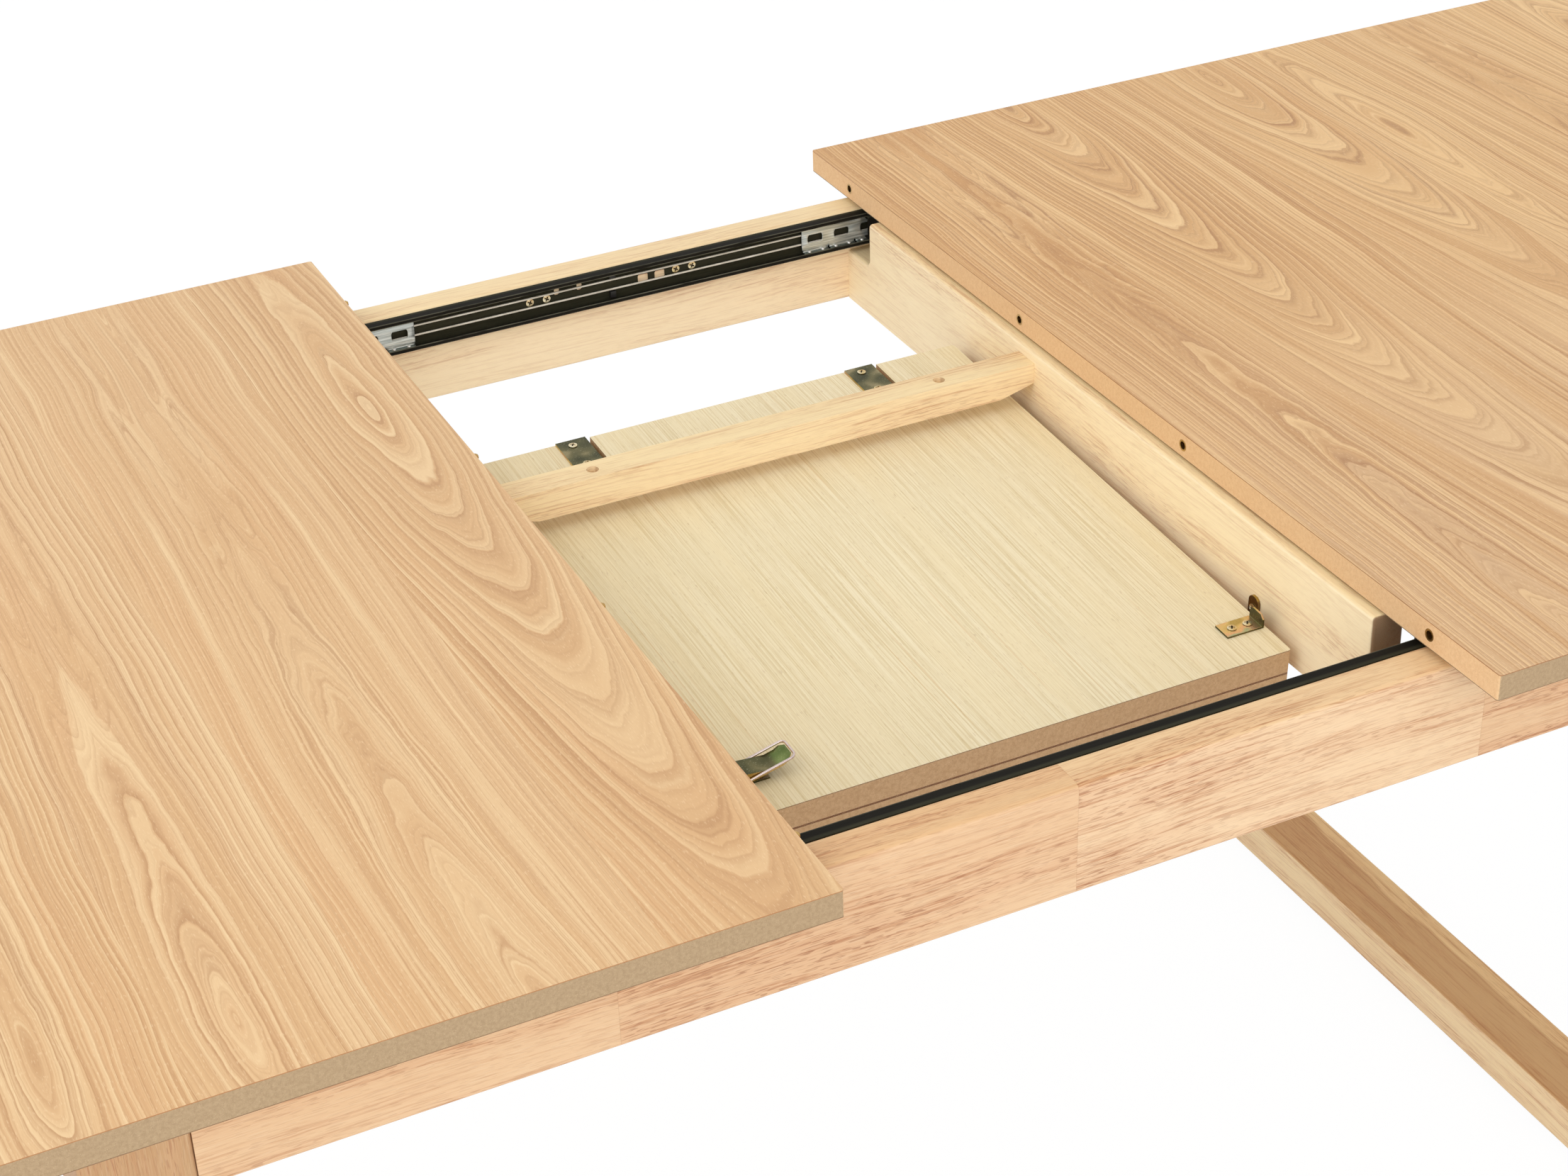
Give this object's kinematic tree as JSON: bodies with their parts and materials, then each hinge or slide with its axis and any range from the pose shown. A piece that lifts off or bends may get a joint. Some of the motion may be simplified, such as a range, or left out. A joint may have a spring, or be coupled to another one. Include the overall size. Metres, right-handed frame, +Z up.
{
  "type": "extending dining table",
  "caption": "Extending dining table with looped leg frames, drawn open: sliding tops on coupled ball slides, a folded leaf stored in the bay below the gap.",
  "frame": {"origin": "on the floor under the middle of the gap between the tops", "axes": "+X along the table towards the right top, +Y to the back, +Z up"},
  "size_m": [2.032, 0.9, 0.73],
  "materials": {
    "ash_veneer": "clear satin lacquer over ash veneer, grain across the table",
    "board_core": "bare fibreboard edge",
    "frame_wood": "clear satin lacquer over pale hardwood",
    "dark_steel": "semi-gloss black paint",
    "zinc_steel": "bright zinc plating",
    "yellow_zinc": "iridescent yellow zinc plating",
    "bright_steel": "polished steel",
    "cable_steel": "bare stranded wire",
    "brass": "plain brass",
    "black_plastic": "matte moulded plastic"
  },
  "bodies": {
    "frame": {"rail_front": "frame_wood", "rail_back": "frame_wood", "end_rail_left": "frame_wood", "end_rail_right": "frame_wood", "cross_rail_left": "frame_wood", "cross_rail_right": "frame_wood", "floor_rail_left": "frame_wood", "floor_rail_right": "frame_wood", "leg_front_left": "frame_wood", "leg_back_left": "frame_wood", "leg_front_right": "frame_wood", "leg_back_right": "frame_wood", "keeper_bar": "frame_wood", "frame_dowels": "frame_wood", "floor_glides": "black_plastic", "corner_brackets": "dark_steel", "corner_bolts": "zinc_steel", "leaf_supports": "yellow_zinc", "frame_screws": "yellow_zinc", "outer_channels": "dark_steel", "channel_stops": "black_plastic", "sync_cables": "cable_steel"},
    "left_top": {"top_core_left": "board_core", "top_veneers_left": "ash_veneer", "top_screws_left": "yellow_zinc", "top_pins": "brass", "top_catches": "yellow_zinc", "inner_slides_left": "dark_steel"},
    "right_top": {"top_core_right": "board_core", "top_veneers_right": "ash_veneer", "top_screws_right": "yellow_zinc", "top_bushes": "brass", "top_latch_bases": "yellow_zinc", "inner_slides_right": "dark_steel"},
    "left_cages": {"ball_cages_left": "zinc_steel"},
    "right_cages": {"ball_cages_right": "zinc_steel"},
    "left_pulleys": {"pulleys_left": "black_plastic"},
    "right_pulleys": {"pulleys_right": "black_plastic"},
    "top_lever_front": {"top_latch_lever_front": "yellow_zinc"},
    "top_lever_back": {"top_latch_lever_back": "yellow_zinc"},
    "top_bail_front": {"top_latch_bail_front": "bright_steel"},
    "top_bail_back": {"top_latch_bail_back": "bright_steel"},
    "leaf_lower": {"leaf_lower_core": "board_core", "leaf_lower_veneers": "ash_veneer", "leaf_lower_hinge_plates": "yellow_zinc", "leaf_lower_pins": "brass", "leaf_lower_screws": "yellow_zinc", "leaf_lower_catch": "yellow_zinc", "leaf_lower_latch_base": "yellow_zinc"},
    "leaf_lower_lever": {"leaf_lower_latch_lever": "yellow_zinc"},
    "leaf_lower_bail": {"leaf_lower_latch_bail": "bright_steel"},
    "leaf_upper": {"leaf_upper_core": "board_core", "leaf_upper_veneers": "ash_veneer", "leaf_upper_hinge_plates": "yellow_zinc", "leaf_upper_pins": "brass", "leaf_upper_screws": "yellow_zinc", "leaf_upper_catch": "yellow_zinc", "leaf_upper_latch_base": "yellow_zinc"},
    "leaf_upper_lever": {"leaf_upper_latch_lever": "yellow_zinc"},
    "leaf_upper_bail": {"leaf_upper_latch_bail": "bright_steel"}
  },
  "joints": [
    {"name": "left_top_slide", "type": "slide", "parent": "frame", "child": "left_top", "axis": [-1, 0, 0], "range_m": [-0.2157, 0]},
    {"name": "right_top_slide", "type": "slide", "parent": "frame", "child": "right_top", "axis": [1, 0, 0], "range_m": [-0.2157, 0]},
    {"name": "left_cage_slide", "type": "slide", "parent": "frame", "child": "left_cages", "axis": [-1, 0, 0], "range_m": [-0.10785, 0]},
    {"name": "right_cage_slide", "type": "slide", "parent": "frame", "child": "right_cages", "axis": [1, 0, 0], "range_m": [-0.10785, 0]},
    {"name": "left_pulley_spin", "type": "hinge", "parent": "frame", "child": "left_pulleys", "pos_m": [-0.545, 0, 0.6925], "axis": [0, 1, 0], "range_deg": [0, 3089.68]},
    {"name": "right_pulley_spin", "type": "hinge", "parent": "frame", "child": "right_pulleys", "pos_m": [0.545, 0, 0.6925], "axis": [0, 1, 0], "range_deg": [0, 3089.68]},
    {"name": "top_lever_front_swing", "type": "hinge", "parent": "right_top", "child": "top_lever_front", "pos_m": [0.23, -0.414, 0.706], "axis": [0, 1, 0], "range_deg": [0, 110]},
    {"name": "top_bail_front_swing", "type": "hinge", "parent": "top_lever_front", "child": "top_bail_front", "pos_m": [0.24, -0.414, 0.707], "axis": [0, 1, 0], "range_deg": [0, 100]},
    {"name": "top_lever_back_swing", "type": "hinge", "parent": "right_top", "child": "top_lever_back", "pos_m": [0.23, 0.414, 0.706], "axis": [0, 1, 0], "range_deg": [0, 110]},
    {"name": "top_bail_back_swing", "type": "hinge", "parent": "top_lever_back", "child": "top_bail_back", "pos_m": [0.24, 0.414, 0.707], "axis": [0, 1, 0], "range_deg": [0, 100]},
    {"name": "leaf_tilt", "type": "hinge", "parent": "frame", "child": "leaf_lower", "pos_m": [0, 0.06616, 0.63098], "axis": [-1, 0, 0], "range_deg": [0, 16]},
    {"name": "leaf_fold", "type": "hinge", "parent": "leaf_lower", "child": "leaf_upper", "pos_m": [0, 0.1816, 0.6552], "axis": [-1, 0, 0], "range_deg": [0, 5]},
    {"name": "leaf_lower_lever_swing", "type": "hinge", "parent": "leaf_lower", "child": "leaf_lower_lever", "pos_m": [-0.186, -0.23069, 0.6105], "axis": [0, 0.9988, 0.0497], "range_deg": [0, 60]},
    {"name": "leaf_lower_bail_swing", "type": "hinge", "parent": "leaf_lower_lever", "child": "leaf_lower_bail", "pos_m": [-0.176, -0.23074, 0.61149], "axis": [0, 0.9988, 0.0497], "range_deg": [0, 60]},
    {"name": "leaf_upper_lever_swing", "type": "hinge", "parent": "leaf_upper", "child": "leaf_upper_lever", "pos_m": [-0.186, -0.23309, 0.65873], "axis": [0, -0.9988, -0.0497], "range_deg": [0, 60]},
    {"name": "leaf_upper_bail_swing", "type": "hinge", "parent": "leaf_upper_lever", "child": "leaf_upper_bail", "pos_m": [-0.176, -0.23304, 0.65774], "axis": [0, -0.9988, -0.0497], "range_deg": [0, 60]}
  ],
  "couplings": [
    {"joint": "right_top_slide", "follows": "left_top_slide", "ratio": 1},
    {"joint": "left_cage_slide", "follows": "left_top_slide", "ratio": 0.5},
    {"joint": "right_cage_slide", "follows": "left_top_slide", "ratio": 0.5},
    {"joint": "left_pulley_spin", "follows": "left_top_slide", "rad_per_m": -250},
    {"joint": "right_pulley_spin", "follows": "left_top_slide", "rad_per_m": -250}
  ]
}
